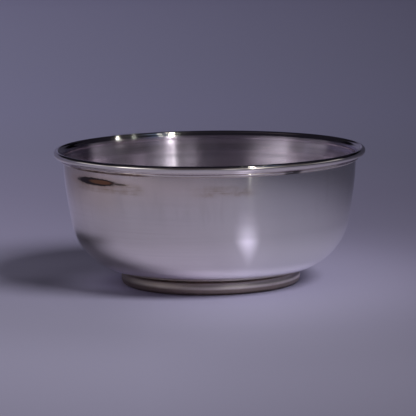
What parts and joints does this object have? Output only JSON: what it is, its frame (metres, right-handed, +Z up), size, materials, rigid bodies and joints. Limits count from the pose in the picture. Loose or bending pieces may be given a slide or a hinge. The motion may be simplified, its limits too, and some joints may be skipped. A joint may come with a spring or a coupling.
{
  "type": "silver bowl",
  "caption": "Small round silver bowl with upright walls, a turned-out moulded lip and a low half-round foot ring.",
  "frame": {"origin": "centre of the circle that the foot stands on", "axes": "+Z up along the bowl's axis of turning; X and Y are any two directions across it"},
  "size_m": [0.12, 0.12, 0.052],
  "materials": {
    "body_silver": "old hand-polished silver with fine scratches that run round the bowl, and light tarnish",
    "lip_silver": "polished silver, worn smooth",
    "foot_silver": "hand-polished silver, with brown tarnish where a cloth doesn't reach",
    "solder": "silver solder, tarnished brown"
  },
  "bodies": {
    "root": {"bowl_body": "body_silver", "lip_moulding": "lip_silver", "lip_solder": "solder", "foot_ring": "foot_silver", "foot_solder": "solder"}
  },
  "joints": []
}
